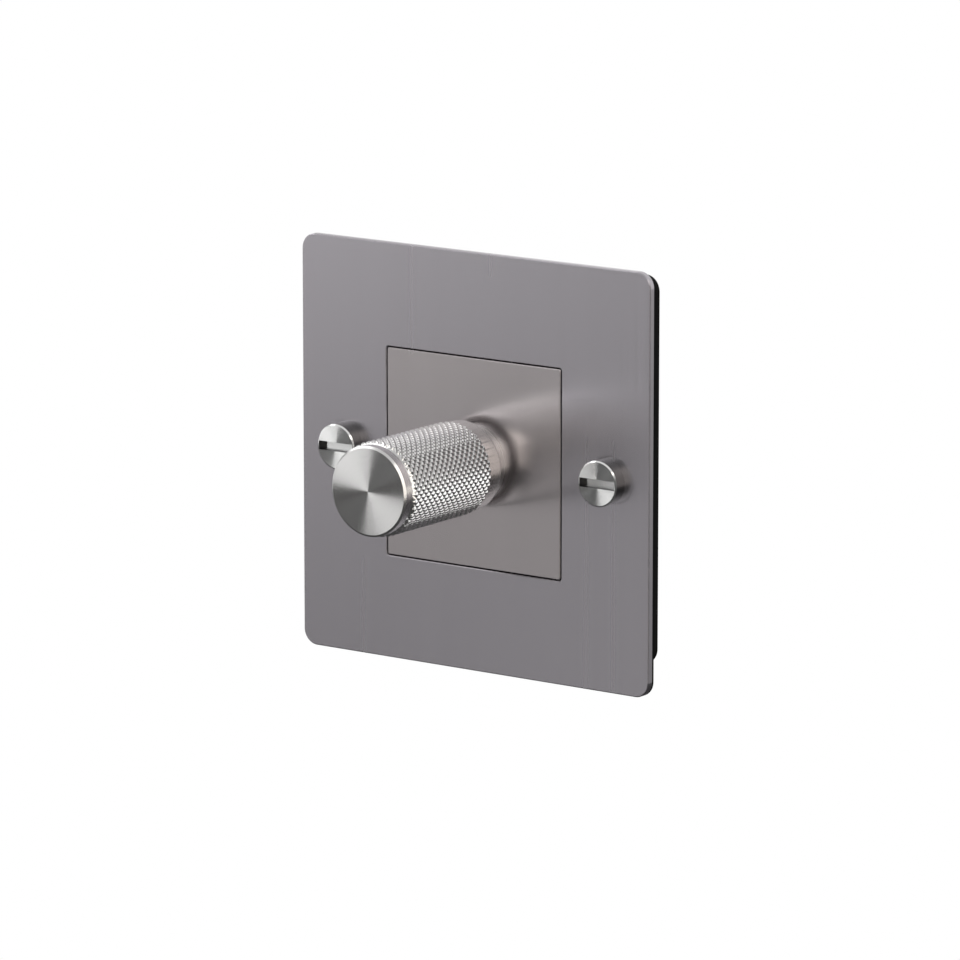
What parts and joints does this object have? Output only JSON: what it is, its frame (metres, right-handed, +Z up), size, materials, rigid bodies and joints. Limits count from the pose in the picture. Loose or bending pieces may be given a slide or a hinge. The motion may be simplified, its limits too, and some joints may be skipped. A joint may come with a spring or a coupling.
{
  "type": "dimmer switch",
  "caption": "Rotary dimmer switch for a single wall box: square satin steel plates, round knurled push knob, two slotted screws, dimmer module behind.",
  "frame": {"origin": "midway between the two fixing screws, in the plane of the wall that the backing lies against", "axes": "+X right as seen by the user, +Y into the wall along the knob's axis, +Z up"},
  "size_m": [0.08, 0.06, 0.08],
  "materials": {
    "satin_steel": "satin, brushed upright",
    "screw_steel": "faced on a lathe",
    "knob_steel": "turned face, diamond knurl",
    "black_rubber": "matt",
    "black_nylon": "fine moulded",
    "housing_nylon": "fine moulded",
    "zinc_steel": "bright zinc",
    "nickel_brass": "machined",
    "heat_plate": "mill finish",
    "laminate": "glass laminate with solder mask",
    "black_epoxy": "moulded epoxy",
    "pad_grey": "thin sheet",
    "ferrite": "pressed and coated",
    "copper": "enamelled wire",
    "film_box": "moulded",
    "can_sleeve": "shrunk sleeve"
  },
  "bodies": {
    "root": {"face_plate": "satin_steel", "centre_plate": "satin_steel", "left_fixing_screw": "screw_steel", "right_fixing_screw": "screw_steel", "bush_nut": "screw_steel", "gasket": "black_rubber", "backing_frame": "black_nylon", "control_case": "black_nylon", "module_housing": "housing_nylon", "terminal_block": "housing_nylon", "switch_case": "housing_nylon", "plate_nuts": "zinc_steel", "lock_washer": "zinc_steel", "housing_screws": "zinc_steel", "board_screws": "zinc_steel", "terminal_screws": "zinc_steel", "return_spring": "zinc_steel", "bush": "nickel_brass", "load_clamp": "nickel_brass", "supply_clamp": "nickel_brass", "two_way_clamp": "nickel_brass", "left_fixed_contact": "nickel_brass", "right_fixed_contact": "nickel_brass", "control_pins": "nickel_brass", "mounting_plate": "heat_plate", "circuit_board": "laminate", "track_disc": "laminate", "left_transistor": "black_epoxy", "right_transistor": "black_epoxy", "control_chip": "black_epoxy", "left_insulator": "pad_grey", "right_insulator": "pad_grey", "choke_core": "ferrite", "choke_winding": "copper", "film_capacitor": "film_box", "smoothing_capacitor": "can_sleeve"},
    "rotor": {"wiper_rotor": "black_nylon", "wiper": "nickel_brass"},
    "knob": {"knob": "knob_steel", "knob_insert": "black_nylon", "shaft": "zinc_steel", "retaining_clip": "zinc_steel"},
    "plunger": {"switch_plunger": "housing_nylon", "contact_bridge": "nickel_brass"}
  },
  "joints": [
    {"name": "dim_turn", "type": "hinge", "parent": "root", "child": "rotor", "pos_m": [0, 0.0063, 0], "axis": [0, 1, 0], "range_deg": [0, 270]},
    {"name": "knob_push", "type": "slide", "parent": "rotor", "child": "knob", "axis": [0, 1, 0], "range_m": [0, 0.0015], "stiffness_N_per_m": 1500, "springref_m": -0.0015},
    {"name": "switch_slide", "type": "slide", "parent": "root", "child": "plunger", "axis": [0, 1, 0], "range_m": [0, 0.0015], "deforming": ["return_spring"]}
  ],
  "couplings": [
    {"joint": "switch_slide", "follows": "knob_push", "ratio": 1}
  ]
}
